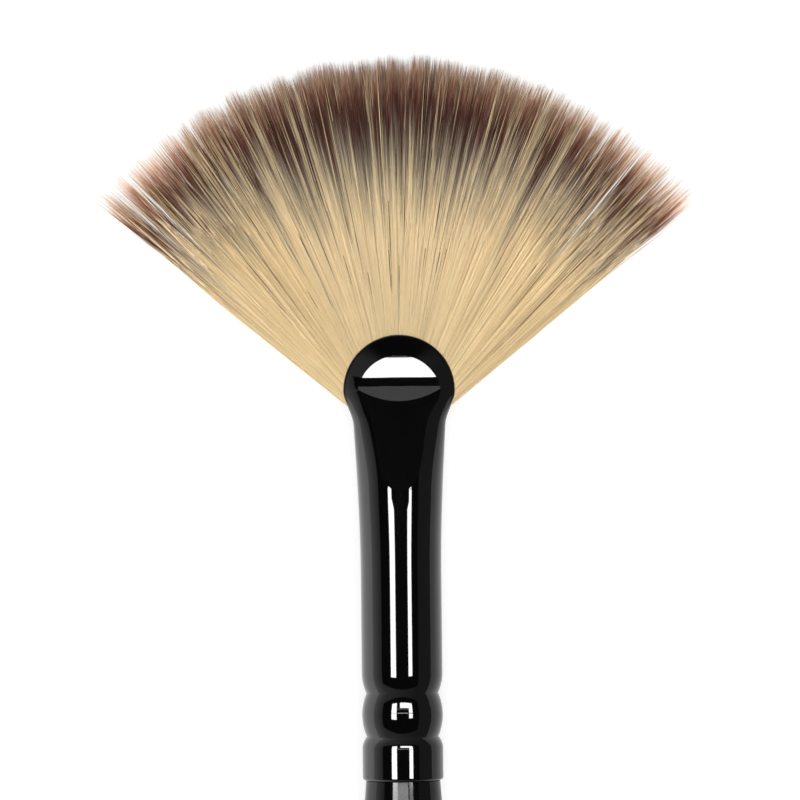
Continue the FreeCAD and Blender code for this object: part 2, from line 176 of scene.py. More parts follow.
# The brush's own frame
@dataclass(frozen=True)
class Sizes:
    """Sizes that the pieces share, in millimetres, as in the solids."""

    body_radius: float = 4.05
    wall: float = 0.35
    edge_round: float = 0.3
    collar_height: float = 3.15
    collar_flank: float = 1.2
    bead_length: float = 4.33
    shoulder_flank: float = 2.0
    groove_depth: float = 0.45
    tube_length: float = 10.0
    flattening_length: float = 14.9
    press_delay: float = 2.4
    flare_length: float = 3.4
    root_radius: float = 3.72
    belly_radius: float = 5.2
    belly_distance: float = 38.0
    tail_radius: float = 2.7
    tail_round: float = 2.5
    handle_length: float = 110.0
    fit_clearance: float = 0.05
    root_chords: int = 4
    focus_drop: float = 5.7
    fan_radius: float = 39.5
    fan_half_angle: float = 51.0

    @property
    def lower_groove(self) -> float:
        """Height of the lower groove."""
        return self.collar_height + self.collar_flank

    @property
    def upper_groove(self) -> float:
        """Height of the upper groove."""
        return self.lower_groove + self.bead_length

    @property
    def crimp_top(self) -> float:
        """Height where the plain tube starts."""
        return self.upper_groove + self.shoulder_flank

    @property
    def widen_start(self) -> float:
        """Height where the tube starts to widen."""
        return self.crimp_top + self.tube_length

    @property
    def waist(self) -> float:
        """Height of the narrow place below the flare."""
        return self.widen_start + self.flattening_length

    @property
    def press_start(self) -> float:
        """Height where the faces start to be pressed flat."""
        return self.widen_start + self.press_delay

    @property
    def head(self) -> float:
        """Height of the middle of the rounded head."""
        return self.waist + self.flare_length

    @property
    def focus(self) -> float:
        """Height where the fibres' lines meet."""
        return self.head - self.focus_drop


@dataclass(frozen=True)
class Lie:
    """How the brush lies: on the handle's belly and on the tube, its axis sloping down to the tips."""

    sizes: Sizes

    @property
    def tilt(self) -> float:
        """Angle of the axis below level, from the corner of the belly and the tube's edge on the table.

        Returns:
            The angle in radians.
        """
        sizes = self.sizes
        step = 1.0 / sizes.root_chords
        radius = sizes.belly_radius - (sizes.belly_radius - sizes.root_radius) * step**2
        along = -sizes.belly_distance + (sizes.belly_distance - sizes.fit_clearance) * step
        return math.atan((radius - sizes.body_radius) / (sizes.press_start - along))

    def place(self, x: Array | float, up: Array | float, along: Array | float) -> Array:
        """Turn places in the brush's frame into places of the solids, in metres.

        Args:
            x: across the fan.
            up: away from the table, from the axis.
            along: along the axis from the ferrule's lower edge.

        Returns:
            One row of three coordinates for each place.
        """
        sizes = self.sizes
        sine, cosine = math.sin(self.tilt), math.cos(self.tilt)
        lift = sizes.body_radius * cosine + sizes.press_start * sine
        middle = (sizes.focus + sizes.fan_radius - sizes.handle_length) / 2.0 * cosine
        x, up, along = np.broadcast_arrays(x, up, along)
        world = [x, along * cosine + up * sine - middle, up * cosine - along * sine + lift]
        return np.stack(world, axis=-1).reshape(-1, 3) * MM


# Finishes
class NodeKit:
    """Short names for building one tree of nodes."""

    def __init__(self, tree: bpy.types.NodeTree) -> None:
        """Take over a tree and empty it."""
        self.tree = tree
        self.tree.nodes.clear()

    def node(self, kind: str, **options: object) -> bpy.types.Node:
        """Add a node and set its own options.

        Args:
            kind: Blender's name of the node type, without its ShaderNode prefix.
            options: options of the node by name.

        Returns:
            The new node.
        """
        made = self.tree.nodes.new(f"ShaderNode{kind}")
        for option, value in options.items():
            setattr(made, option, value)
        return made

    def link(self, source: bpy.types.NodeSocket, target: bpy.types.NodeSocket) -> None:
        """Join two sockets."""
        self.tree.links.new(source, target)

    def feed(self, target: bpy.types.NodeSocket, value: object) -> None:
        """Link a socket or set a plain value.

        Args:
            target: the socket that takes it.
            value: a socket to link or a value to set.
        """
        if isinstance(value, bpy.types.NodeSocket):
            self.link(value, target)
        else:
            target.default_value = value

    def math(self, operation: str, *values: object, clamp: bool = False) -> bpy.types.NodeSocket:
        """Work out one sum of values or sockets.

        Args:
            operation: Blender's name of the sum.
            values: its values or sockets, in order.
            clamp: whether the result stays between 0 and 1.

        Returns:
            The result's socket.
        """
        made = self.node("Math", operation=operation, use_clamp=clamp)
        for socket, value in zip(made.inputs, values):
            self.feed(socket, value)
        return made.outputs[0]

    def split(self, vector: bpy.types.NodeSocket) -> bpy.types.NodeOutputs:
        """Split a vector into its three numbers.

        Args:
            vector: the vector's socket.

        Returns:
            The three numbers' sockets.
        """
        made = self.node("SeparateXYZ")
        self.link(vector, made.inputs[0])
        return made.outputs

    def noise(
        self, vector: bpy.types.NodeSocket, scale: float, detail: float = 3.0
    ) -> bpy.types.NodeSocket:
        """Make a cloudy pattern between 0 and 1.

        Args:
            vector: socket of the place to read.
            scale: how fine the pattern is.
            detail: how many finer patterns are laid over it.

        Returns:
            The pattern's socket.
        """
        made = self.node("TexNoise")
        self.link(vector, made.inputs["Vector"])
        made.inputs["Scale"].default_value = scale
        made.inputs["Detail"].default_value = detail
        return made.outputs["Fac"]

    def ramp(self, value: bpy.types.NodeSocket, stops: list[tuple[float, Colour]]) -> bpy.types.NodeSocket:
        """Turn a number into a colour.

        Args:
            value: socket that runs from 0 to 1.
            stops: place and linear colour of each stop.

        Returns:
            The colour's socket.
        """
        made = self.node("ValToRGB")
        elements = made.color_ramp.elements
        while len(elements) < len(stops):
            elements.new(0.5)
        for element, (place, colour) in zip(elements, stops):
            element.position = place
            element.color = (*colour, 1.0)
        self.link(value, made.inputs["Fac"])
        return made.outputs["Color"]

    def mix(
        self, share: object, first: object, second: object, blend: str = "MIX"
    ) -> bpy.types.NodeSocket:
        """Mix two colours.

        Args:
            share: how much of the second, as a value or socket.
            first: colour or socket.
            second: colour or socket.
            blend: Blender's name of the way to mix.

        Returns:
            The mixed colour's socket.
        """
        made = self.node("Mix", data_type="RGBA", blend_type=blend)
        self.feed(made.inputs["Factor"], share)
        self.feed(made.inputs[6], first)
        self.feed(made.inputs[7], second)
        return made.outputs[2]


class MaterialKit(NodeKit):
    """Node kit of a material that has one shader."""

    def __init__(self, name: str) -> None:
        """Start a material with a shader and nothing else.

        Args:
            name: name of the material.
        """
        self.material = bpy.data.materials.new(name)
        self.material.use_nodes = True
        super().__init__(self.material.node_tree)
        output = self.node("OutputMaterial")
        self.shader = self.node("BsdfPrincipled")
        self.link(self.shader.outputs[0], output.inputs["Surface"])

    def place(self) -> bpy.types.NodeSocket:
        """Place on the piece, in metres."""
        return self.node("TexCoord").outputs["Object"]

    def dress(self, name: str, value: object) -> None:
        """Link a socket to one of the shader's own or set its value."""
        self.feed(self.shader.inputs[name], value)

    def bump(self, height: bpy.types.NodeSocket, strength: float, distance: float) -> None:
        """Raise the surface by a pattern.

        Args:
            height: the pattern's socket.
            strength: how much of the bump is shown.
            distance: its height in metres.
        """
        made = self.node("Bump")
        made.inputs["Strength"].default_value = strength
        made.inputs["Distance"].default_value = distance
        self.link(height, made.inputs["Height"])
        self.dress("Normal", made.outputs[0])


@dataclass(frozen=True)
class Gloss:
    """Black enamel or lacquer with a faint unevenness, fine dust and slight wear of its gloss."""

    name: str
    colour: Colour
    roughness: float
    coat: float
    ripple: float
    darkest: float = 0.6
    wear: float = 0.3
    coat_roughness: float = 0.03
    cloud_scale: float = 220.0
    speck_scale: float = 5200.0
    ripple_scale: float = 900.0
    ripple_height: float = 0.00002

    def material(self) -> bpy.types.Material:
        """Build the node material.

        Returns:
            The new material.
        """
        kit = MaterialKit(self.name)
        place = kit.place()
        clouds = kit.noise(place, self.cloud_scale, 4.0)
        specks = kit.noise(place, self.speck_scale, 2.0)
        darker = tuple(self.darkest * part for part in self.colour)
        kit.dress("Base Color", kit.mix(clouds, (*darker, 1.0), (*self.colour, 1.0)))
        grain = kit.math("MULTIPLY", kit.math("SUBTRACT", specks, 0.5), self.wear * self.roughness)
        kit.dress("Roughness", kit.math("ADD", grain, self.roughness))
        kit.dress("Coat Weight", self.coat)
        kit.dress("Coat Roughness", self.coat_roughness)
        kit.bump(kit.noise(place, self.ripple_scale, 2.0), self.ripple, self.ripple_height)
        return kit.material


@dataclass(frozen=True)
class Glue:
    """Cured amber glue, cloudy with a few darker places."""

    name: str = "cured_glue"
    thin: Colour = (0.42, 0.3, 0.14)
    thick: Colour = (0.72, 0.6, 0.36)
    roughness: float = 0.4
    cloud_scale: float = 700.0
    cloud_height: float = 0.0001

    def material(self) -> bpy.types.Material:
        """Build the node material.

        Returns:
            The new material.
        """
        kit = MaterialKit(self.name)
        clouds = kit.noise(kit.place(), self.cloud_scale, 4.0)
        kit.dress("Base Color", kit.ramp(clouds, [(0.3, self.thin), (0.7, self.thick)]))
        kit.dress("Roughness", self.roughness)
        kit.bump(clouds, 0.3, self.cloud_height)
        return kit.material


@dataclass(frozen=True)
class DyedFibre:
    """Soft synthetic fibre: cream, then grey taupe, then dark red-brown, then a pale tip.

    The texture place's first number says how deep the dye is at that point of the fibre, from 0 at the root
    to 1 at the tip. The second number is the fibre's own shade, which shows more where the dye is deep; it
    also holds painted light, which makes the fibres lighter towards the sides of the fan.
    """

    name: str = "dyed_fibre"
    # The cream is paler than the root colour: painted light that makes up for the shade the fibres cast on
    # each other further out.
    root: Colour = (0.755, 0.583, 0.325)
    cream: Colour = (0.95, 0.742, 0.43)
    taupe: Colour = (0.30, 0.24, 0.17)
    brown: Colour = (0.078, 0.028, 0.017)
    rust: Colour = (0.24, 0.098, 0.058)
    tip: Colour = (0.66, 0.46, 0.32)
    dye_line: float = 0.51
    cream_spread: float = 0.07
    dye_spread: float = 1.15
    mean_shade: float = 0.9
    cloud_share: float = 0.1
    cloud_scale: float = 900.0
    roughness: float = 0.5
    specular: float = 0.12

    def stops(self) -> list[tuple[float, Colour]]:
        """Dye depth at which each colour is reached."""
        # From root to cream the colour grows paler: painted light against the shade the fibres cast on each
        # other further out.
        pale = [(0.18, self.root), (0.40, self.cream), (0.56, self.taupe)]
        return pale + [(0.70, self.brown), (0.86, self.brown), (0.94, self.rust), (1.0, self.tip)]

    def material(self) -> bpy.types.Material:
        """Build the node material.

        The shade multiplies the dye's colour. It is the mean shade plus the fibre's own number, brought
        from between 0 and 1 to between -0.5 and 2, times a spread that is wider where the fibre is dyed.
        The own number also holds painted light, which grows towards the sides of the fan.

        Returns:
            The new material.
        """
        kit = MaterialKit(self.name)
        depth, own, _ = kit.split(kit.node("UVMap", uv_map="OFBake").outputs["UV"])
        dye = kit.ramp(depth, self.stops())
        clouds = kit.noise(kit.place(), self.cloud_scale)
        dyed = kit.math("GREATER_THAN", depth, self.dye_line)
        spread = kit.math("ADD", kit.math("MULTIPLY", dyed, self.dye_spread), self.cream_spread)
        own = kit.math("SUBTRACT", kit.math("MULTIPLY", own, 2.5), 0.5)
        shade = kit.math("MULTIPLY_ADD", own, spread, kit.math("MULTIPLY", clouds, self.cloud_share))
        shade = kit.math("ADD", shade, self.mean_shade)
        tint = kit.node("CombineColor")
        for socket in tint.inputs:
            kit.link(shade, socket)
        kit.dress("Base Color", kit.mix(1.0, dye, tint.outputs[0], "MULTIPLY"))
        kit.dress("Roughness", self.roughness)
        kit.dress("Specular IOR Level", self.specular)
        return kit.material


# Ferrule
@dataclass(frozen=True)
class Rays:
    """Rays from the ferrule's axis to its outline, up one side, round the head and down the other.

    Each ray has the height of its foot on the axis, its direction across and lengthwise, and a mark if it
    stands inside the lower edge.
    """

    foot: Array
    across: Array
    lengthwise: Array
    inside: Array


@dataclass
class Ferrule:
    """Thin enamelled tube: collar, bead, round body, neck pressed flat and a rounded head with two lips.

    Every section runs from the middle of the face over a flat, its edge and the side down to the middle
    plane. In the head the sections stand on rays that fan out from its middle, and where the mouth is open
    they turn round the lip and run back inside.
    """

    sizes: Sizes
    lie: Lie
    finish: Gloss
    # Outline
    waist_half_width: float = 4.62
    waist_flare_slope: float = 0.06
    head_half_width: float = 5.6
    # Face, from where it starts to be flat: neck, pad, crease, step and plate
    flat_start: float = 29.15
    flat_start_loss: float = 0.09
    neck_slope: float = 0.2595
    neck_hollow: float = 0.0037
    hollow_lead: float = 2.5
    pad_start: float = 37.9
    pad_slope: float = 0.10
    crease: float = 39.42
    step_slope: float = 0.04
    plate_start: float = 40.22
    plate_slopes: tuple[float, float] = (0.125, 0.222)
    plate_bend_end: float = 42.5
    crown_radius: float = 66.0
    plate_arc_middle: float = 38.29
    plate_arc_radius: float = 4.21
    # Side, lip and mouth
    side_depths: tuple[float, float] = (4.05, 2.37)
    lip_edge: float = 0.16
    mouth_half_gap: float = 0.4
    mouth_depth: float = 1.6
    mouth_fade: tuple[float, float] = (-0.25, 0.35)
    bevel_straight: float = 0.72
    bevel_lead: float = 0.8
    # Rows and columns of the mesh
    inside_reach: float = 2.4
    edge_rows: int = 9
    collar_rows: int = 38
    bead_rows: int = 42
    shoulder_rows: int = 20
    tube_rows: int = 18
    dome_rows: int = 150
    row_gap: float = 0.5
    bend_lead: float = 2.0
    arc_fade: float = 0.22
    fold_gap: float = 0.06
    neck_gap: float = 0.3
    pad_gap: float = 0.09
    flat_steps: int = 36
    side_steps: int = 20
    tail_steps: int = 14
    rim_shares: tuple[float, float] = (0.02, 0.06)

    def tube_radius(self, along: Array) -> Array:
        """Radius of the round part: parabolas for flanks and bead, which meet sharply in both grooves.

        Args:
            along: height above the lower edge.

        Returns:
            The radius at each height.
        """
        sizes = self.sizes
        middle = (sizes.lower_groove + sizes.upper_groove) / 2.0
        lower = np.clip((along - sizes.collar_height) / sizes.collar_flank, 0.0, 1.0)
        bead = np.clip(np.abs(along - middle) / (sizes.bead_length / 2.0), 0.0, 1.0)
        upper = np.clip((sizes.crimp_top - along) / sizes.shoulder_flank, 0.0, 1.0)
        share = np.where(along < sizes.upper_groove, bead, upper)
        share = np.where(along < sizes.lower_groove, lower, share)
        return sizes.body_radius - sizes.groove_depth * share**2

    def half_width(self, along: Array) -> Array:
        """Half width: the round part, then a glide to the waist and another to the head.

        Args:
            along: height above the lower edge.

        Returns:
            The half width at each height.
        """
        sizes = self.sizes
        slope = self.waist_flare_slope
        widths = (sizes.body_radius, self.waist_half_width, self.head_half_width)
        below = glide(widths[:2], (0.0, slope), (sizes.widen_start, sizes.waist), along)
        above = glide(widths[1:], (slope, 0.0), (sizes.waist, sizes.head), along)
        pressed = np.where(along < sizes.waist, below, above)
        return np.where(along < sizes.widen_start, self.tube_radius(along), pressed)

    def top(self, x: Array, along: Array) -> Array:
        """Height of the flat over the middle plane.

        The neck is a plane that slopes down to the head. Where it meets the pad, a gentler slope, the
        higher of the two counts, so their border is an arc. Beyond the crease follow a narrow step and then
        a plate whose slope grows evenly. All but the neck fall off sideways as the square of x over twice
        the crown's radius.

        Args:
            x: across the fan.
            along: height above the lower edge.

        Returns:
            The height at each place.
        """
        sizes = self.sizes
        pressed = np.clip((along - sizes.press_start) / (self.flat_start - sizes.press_start), 0.0, 1.0)
        settled = sizes.body_radius - self.flat_start_loss * pressed
        crown = x**2 / (2.0 * self.crown_radius)
        hollow_start = sizes.waist - self.hollow_lead
        hollow = self.neck_hollow * x**2 * smooth_step(along, hollow_start, self.pad_start)
        neck = settled - self.neck_slope * np.clip(along - self.flat_start, 0.0, None) + hollow
        neck_end = sizes.body_radius - self.flat_start_loss
        pad_height = neck_end - self.neck_slope * (self.pad_start - self.flat_start)
        pad = pad_height - self.pad_slope * (along - self.pad_start) - crown
        crease_height = pad_height - self.pad_slope * (self.crease - self.pad_start)
        step = np.clip(along - self.crease, 0.0, self.plate_start - self.crease)
        beyond = np.clip(along - self.plate_start, 0.0, None)
        first, last = self.plate_slopes
        growth = (last - first) / (self.plate_bend_end - self.plate_start)
        plate = crease_height - self.step_slope * step - first * beyond - growth * beyond**2 / 2.0 - crown
        return np.where(along < self.crease, np.maximum(neck, pad), plate)

    def rays(self) -> Rays:
        """Stand the rays close together where the section changes fast, and wide apart where it doesn't.

        Returns:
            The rays of one face of the ferrule.
        """
        sizes = self.sizes
        turn = np.linspace(0.0, math.pi / 2.0, self.edge_rows)
        edge = sizes.edge_round * (1.0 - np.cos(turn))
        collar = np.linspace(sizes.edge_round + 0.1, sizes.lower_groove, self.collar_rows)
        bead = np.linspace(sizes.lower_groove, sizes.upper_groove, self.bead_rows)[1:]
        shoulder = np.linspace(sizes.upper_groove, sizes.crimp_top, self.shoulder_rows)[1:]
        tube = np.linspace(sizes.crimp_top + 0.5, self.flat_start, self.tube_rows)
        fold = np.arange(self.flat_start + self.fold_gap / 2.0, self.flat_start + 1.8, self.fold_gap)
        neck = np.arange(fold[-1] + self.neck_gap, self.pad_start - 1.5, self.neck_gap)
        pad = np.arange(neck[-1] + self.pad_gap, sizes.head - 0.03, self.pad_gap)
        inner = np.array([self.inside_reach, 0.04])
        up = np.concatenate([inner, edge, collar, bead, shoulder, tube, fold, neck, pad])
        inside = np.arange(len(up)) < len(inner)
        dome = np.linspace(0.0, math.pi, self.dome_rows)
        corner = self.corner_angle()
        nearest = np.abs(dome - corner).argmin()
        dome[nearest], dome[-1 - nearest] = corner, math.pi - corner
        return Rays(
            foot=np.concatenate([up, np.full(self.dome_rows, sizes.head), up[::-1]]),
            across=np.concatenate([np.ones(len(up)), np.cos(dome), -np.ones(len(up))]),
            lengthwise=np.concatenate([np.zeros(len(up)), np.sin(dome), np.zeros(len(up))]),
            inside=np.concatenate([inside, np.zeros(self.dome_rows, dtype=bool), inside[::-1]]),
        )

    def arc_bend(self) -> float:
        """How fast the arc between neck and pad rises, as a share of the square of the distance."""
        return (self.neck_hollow + 0.5 / self.crown_radius) / (self.neck_slope - self.pad_slope)

    def corner_angle(self) -> float:
        """Find the ray in the head that meets the corner where the pad's arc ends on the flat's edge.

        Returns:
            The ray's angle above the line across, in radians.
        """
        angle = np.linspace(0.0, 0.4, 2001)
        reach = self.flat_reach(np.full_like(angle, self.sizes.head), np.sin(angle), np.zeros_like(angle))
        x, along = reach * np.cos(angle), self.sizes.head + reach * np.sin(angle)
        return float(angle[np.abs(along - self.pad_start - x**2 * self.arc_bend()).argmin()])

    def flat_reach(self, foot: Array, lengthwise: Array, width: Array) -> Array:
        """How far along each ray the flat reaches.

        In the neck the side is a piece of an ellipse as wide as the section, whose depth glides from the
        round tube's to the head's, and the flat ends where it cuts that ellipse. In the head it ends on a
        circle round a point below the head's middle.

        Args:
            foot: height of each ray's foot.
            lengthwise: the ray's direction along the axis.
            width: half width, which is the ray's length.

        Returns:
            The reach of each ray's flat.
        """
        sizes = self.sizes
        depth = glide(self.side_depths, (0.0, 0.0), (self.flat_start, sizes.head), foot)
        middle = self.top(np.zeros_like(foot), foot)
        neck = width * np.sqrt(np.clip(1.0 - (middle / depth) ** 2, 0.002, None))
        drop = sizes.head - self.plate_arc_middle
        across = np.sqrt(1.0 - lengthwise**2)
        head = np.sqrt(self.plate_arc_radius**2 - (drop * across) ** 2) - drop * lengthwise
        flat = np.where(foot > sizes.head - SAME_PLACE, head, neck)
        narrowest = math.sqrt(1.0 - (1.0 - self.flat_start_loss / sizes.body_radius) ** 2)
        return np.where(foot > self.flat_start - SAME_PLACE, flat, narrowest * width)

    def side_shares(self, count: int) -> Array:
        """Shares of the way down the side, the first two close to the flat's edge."""
        return np.concatenate([self.rim_shares[:1], np.linspace(self.rim_shares[1], 1.0, count - 1)])

    def side(self, width: Array, flat: Array, height: Array) -> tuple[Array, Array]:
        """Side of the neck: a piece of an ellipse from the flat's edge down to the middle plane.

        Args:
            width: half width of each section.
            flat: half width of its flat.
            height: height at the flat's edge.

        Returns:
            Distance from the middle and height, one row for each section.
        """
        share = self.side_shares(self.side_steps + self.tail_steps)
        first = np.arccos(np.clip(flat / width, 0.0, 1.0))
        turn = first[:, None] * (1.0 - share)
        return width[:, None] * np.cos(turn), height[:, None] * np.sin(turn) / np.sin(first)[:, None]

    def bevel(
        self, width: Array, flat: Array, height: Array, lengthwise: Array, slot: Array
    ) -> tuple[Array, Array]:
        """Side of the head: a bevel from the flat's edge to the lip, and the lip itself.

        The bevel is straight at the top of the head and hollows out as a square towards the sides. Where
        the mouth is open the tail turns half round the sheet's edge and runs back inside; where it is
        closed the tail runs a quarter round and down to the middle plane.

        Args:
            width: length of each ray.
            flat: reach of its flat.
            height: height at the flat's edge.
            lengthwise: the ray's direction along the axis.
            slot: how far the mouth is open, from 0 to 1.

        Returns:
            Distance from the middle and height, one row for each ray.
        """
        share = self.side_shares(self.side_steps)
        shoulder = (width - self.lip_edge)[:, None]
        lip = self.mouth_half_gap + self.lip_edge
        straight = (self.bevel_straight + (1.0 - self.bevel_straight) * lengthwise)[:, None]
        reach = flat[:, None] + (shoulder - flat[:, None]) * share
        fall = straight * share + (1.0 - straight) * share**2
        bevel_height = height[:, None] - (height[:, None] - lip) * fall
        turn = np.linspace(0.0, math.pi, self.tail_steps - 3)[1:]
        inner = np.linspace(0.3, self.mouth_depth, 4)
        open_reach = np.hstack([shoulder + self.lip_edge * np.sin(turn), shoulder - inner])
        open_height = self.mouth_half_gap + self.lip_edge * np.clip(np.cos(turn), 0.0, None) ** 2
        open_height = np.append(open_height, np.full_like(inner, self.mouth_half_gap))
        turn = np.linspace(0.0, math.pi / 2.0, self.tail_steps + 1)[1:]
        closed_reach = shoulder + self.lip_edge * np.sin(turn)
        closed_height = lip * np.cos(turn)
        tail_reach = closed_reach + (open_reach - closed_reach) * slot[:, None]
        tail_height = closed_height + (open_height - closed_height) * slot[:, None]
        return np.hstack([reach, tail_reach]), np.hstack([bevel_height, tail_height])

    def widths(self, rays: Rays) -> Array:
        """Length of each ray: the half width, less the rounding of the lower edge, or the bore inside it.

        Args:
            rays: the ferrule's rays.

        Returns:
            How far each ray reaches.
        """
        sizes = self.sizes
        inward = np.sqrt(np.clip(sizes.edge_round**2 - (sizes.edge_round - rays.foot) ** 2, 0.0, None))
        edge_loss = np.where(rays.foot < sizes.edge_round, sizes.edge_round - inward, 0.0)
        return np.where(rays.inside, sizes.body_radius - sizes.wall, self.half_width(rays.foot) - edge_loss)

    def bent_rows(self, rays: Rays) -> tuple[Array, Array]:
        """Where each row crosses the middle, and how far it is bent, so that one row follows the pad's arc.

        Args:
            rays: the ferrule's rays.

        Returns:
            The height of each row in the middle, and the bend as a share of a full parabola.
        """
        sizes = self.sizes
        corner = math.sin(self.corner_angle())
        shift = self.row_gap + sizes.head - self.pad_start
        rise = rays.foot + self.row_gap * np.clip(rays.lengthwise / corner, 0.0, 1.0)
        before = rise - shift * smooth_step(rise, sizes.waist - self.bend_lead, sizes.head + self.row_gap)
        after = 1.0 - smooth_step(rays.lengthwise, corner, corner + self.arc_fade)
        past = rays.lengthwise > corner + SAME_ANGLE
        middle = np.where(past, sizes.head - (sizes.head - self.pad_start) * after, before)
        return middle, np.where(past, after, 1.0)

    def flat_part(self, rays: Rays, width: Array, flat: Array) -> tuple[Array, Array, Array]:
        """Lay the face over the rays, from the middle to the flat's edge.

        Args:
            rays: the ferrule's rays.
            width: length of each ray.
            flat: reach of its flat.

        Returns:
            Place across, height along the axis and height over the middle plane, one row for each ray.
        """
        foot = rays.foot
        steps = np.append(np.linspace(0.0, 0.985, self.flat_steps - 1), 1.0)
        x = (flat * rays.across)[:, None] * steps
        middle, bend = self.bent_rows(rays)
        end = foot + flat * rays.lengthwise
        curve = bend[:, None] * steps**2 + (1.0 - bend[:, None]) * steps
        along = middle[:, None] + (end - middle)[:, None] * curve
        ellipse = np.sqrt(1.0 - (x / width[:, None]) ** 2)
        round_height = np.minimum(width, self.top(np.zeros_like(foot), foot))[:, None] * ellipse
        is_round = (foot < self.flat_start - SAME_PLACE)[:, None]
        return x, along, np.where(is_round, round_height, self.top(x, along))

    def side_part(self, rays: Rays, width: Array, flat: Array, height: Array) -> tuple[Array, Array]:
        """Lay the side over the rays: the neck's ellipse, which turns into the head's bevel and lip.

        Args:
            rays: the ferrule's rays.
            width: length of each ray.
            flat: reach of its flat.
            height: height at the flat's edge.

        Returns:
            Distance from the ray's foot and height over the middle plane, one row for each ray.
        """
        sizes = self.sizes
        outline = rays.foot + width * rays.lengthwise
        fan_line = (outline - sizes.focus) * math.tan(math.radians(sizes.fan_half_angle))
        slot = smooth_step(fan_line - width * np.abs(rays.across), *self.mouth_fade)
        neck_reach, neck_height = self.side(width, flat, height)
        head_reach, head_height = self.bevel(width, flat, height, rays.lengthwise, slot)
        blend = smooth_step(rays.foot, sizes.waist + self.bevel_lead, sizes.head)[:, None]
        reach = neck_reach + (head_reach - neck_reach) * blend
        return reach, neck_height + (head_height - neck_height) * blend

    def sharpen(self, item: bpy.types.Object, rays: Rays, columns: int) -> None:
        """Mark the sharp edges: both grooves, the flat's start and rim, and the arc between neck and pad.

        Args:
            item: the ferrule's mesh, before its points are merged.
            rays: the ferrule's rays.
            columns: how many points a row has.
        """
        sizes = self.sizes
        creases = np.array([sizes.lower_groove, sizes.upper_groove, self.flat_start])
        groove = np.abs(rays.foot[:, None] - creases).min(axis=1) < SAME_PLACE
        arc = np.abs(rays.lengthwise - math.sin(self.corner_angle())) < SAME_ANGLE
        ends = np.empty(2 * len(item.data.edges), dtype=np.int32)
        item.data.edges.foreach_get("vertices", ends)
        row, column = np.divmod(ends.reshape(-1, 2), columns)
        row = row % len(rays.foot)
        along_row = row[:, 0] == row[:, 1]
        on_arc = arc[row[:, 0]] & (column.max(axis=1) < self.flat_steps)
        pressed = (rays.foot[row] > self.flat_start - SAME_PLACE).all(axis=1)
        rim = pressed & (column == self.flat_steps - 1).all(axis=1)
        flags = item.data.attributes.new("sharp_edge", "BOOLEAN", "EDGE")
        flags.data.foreach_set("value", along_row & (groove[row[:, 0]] | on_arc) | rim)

    def build(self) -> bpy.types.Object:
        """Lay both faces of the ferrule over the rays and join them.

        Returns:
            The new object.
        """
        rays = self.rays()
        width = self.widths(rays)
        flat = self.flat_reach(rays.foot, rays.lengthwise, width)
        x, along, height = self.flat_part(rays, width, flat)
        reach, side_height = self.side_part(rays, width, flat, height[:, -1])
        x = np.hstack([x, reach * rays.across[:, None]])
        along = np.hstack([along, rays.foot[:, None] + reach * rays.lengthwise[:, None]])
        height = np.hstack([height, side_height])
        points = [self.lie.place(x, face * height, along) for face in (1.0, -1.0)]
        rows, columns = x.shape
        faces = grid_faces(rows, columns)
        both = np.vstack([faces, faces[:, ::-1] + rows * columns])
        item = mesh_object("ferrule_shell", np.vstack(points), both)
        self.sharpen(item, rays, columns)
        weld(item)
        hand_over(item, self.finish.material(), "ferrule")
        return item


# Handle
@dataclass
class Handle:
    """Turned wooden handle under black lacquer, from inside the ferrule to its rounded end."""

    sizes: Sizes
    lie: Lie
    finish: Gloss
    tenon_inset: float = 0.45
    tenon_length: float = 2.2
    root_gap: float = 0.015
    upper_rows: int = 60
    lower_rows: int = 90
    end_rows: int = 24
    around: int = 128

    def profile(self) -> tuple[Array, Array]:
        """Radius and height from the tenon through the belly to the end.

        Two parabolas meet at the thickest place and a quarter of an ellipse closes the end. A row close
        below the root keeps the shading of its edge from running down the handle.

        Returns:
            Height along the axis and radius at each point.
        """
        sizes = self.sizes
        tenon = sizes.body_radius - self.tenon_inset
        root, belly = -sizes.fit_clearance, -sizes.belly_distance
        tail = sizes.tail_round - sizes.handle_length
        upper = np.linspace(root - 0.6, belly, self.upper_rows)
        upper = np.concatenate([[root, root - self.root_gap], upper])
        upper_loss = (sizes.belly_radius - sizes.root_radius) * ((upper - belly) / (root - belly)) ** 2
        lower = np.linspace(belly, tail, self.lower_rows)[1:]
        lower_loss = (sizes.belly_radius - sizes.tail_radius) * ((lower - belly) / (tail - belly)) ** 2
        turn = np.linspace(0.0, math.pi / 2.0, self.end_rows)[1:]
        end = tail - sizes.tail_round * np.sin(turn)
        along = np.concatenate([[self.tenon_length, self.tenon_length, root], upper, lower, end])
        body = sizes.belly_radius - np.concatenate([upper_loss, lower_loss])
        radius = np.concatenate([[0.0, tenon, tenon], body, sizes.tail_radius * np.cos(turn)])
        return along, radius

    def build(self) -> bpy.types.Object:
        """Turn the profile round the axis.

        Returns:
            The new object.
        """
        along, radius = self.profile()
        turn = np.linspace(0.0, 2.0 * math.pi, self.around, endpoint=False)
        x = radius[:, None] * np.cos(turn)
        up = radius[:, None] * np.sin(turn)
        points = self.lie.place(x, up, along[:, None] + np.zeros_like(x))
        item = mesh_object("handle_turned", points, grid_faces(len(along), self.around, closed=True))
        weld(item)
        hand_over(item, self.finish.material(), "handle")
        return item


# Bristles
class Layer(Enum):
    """Where a batch of fibres lies in the fan's thickness."""

    BACK = (-1.0, -0.3)
    CORE = (-0.35, 0.35)
    FRONT = (0.3, 1.0)


@dataclass(frozen=True)
class Strands:
    """Every fibre's own numbers, one value each: its line, its place in the thickness, length and dye."""

    angle: Array
    tuft: Array
    wisp: Array
    tuft_pull: Array
    wisp_pull: Array
    splay: Array
    level: Array
    drift: Array
    length: Array
    dye_start: Array
    dye_fade: Array
    deepest: Array
    shade: Array
    thick: Array


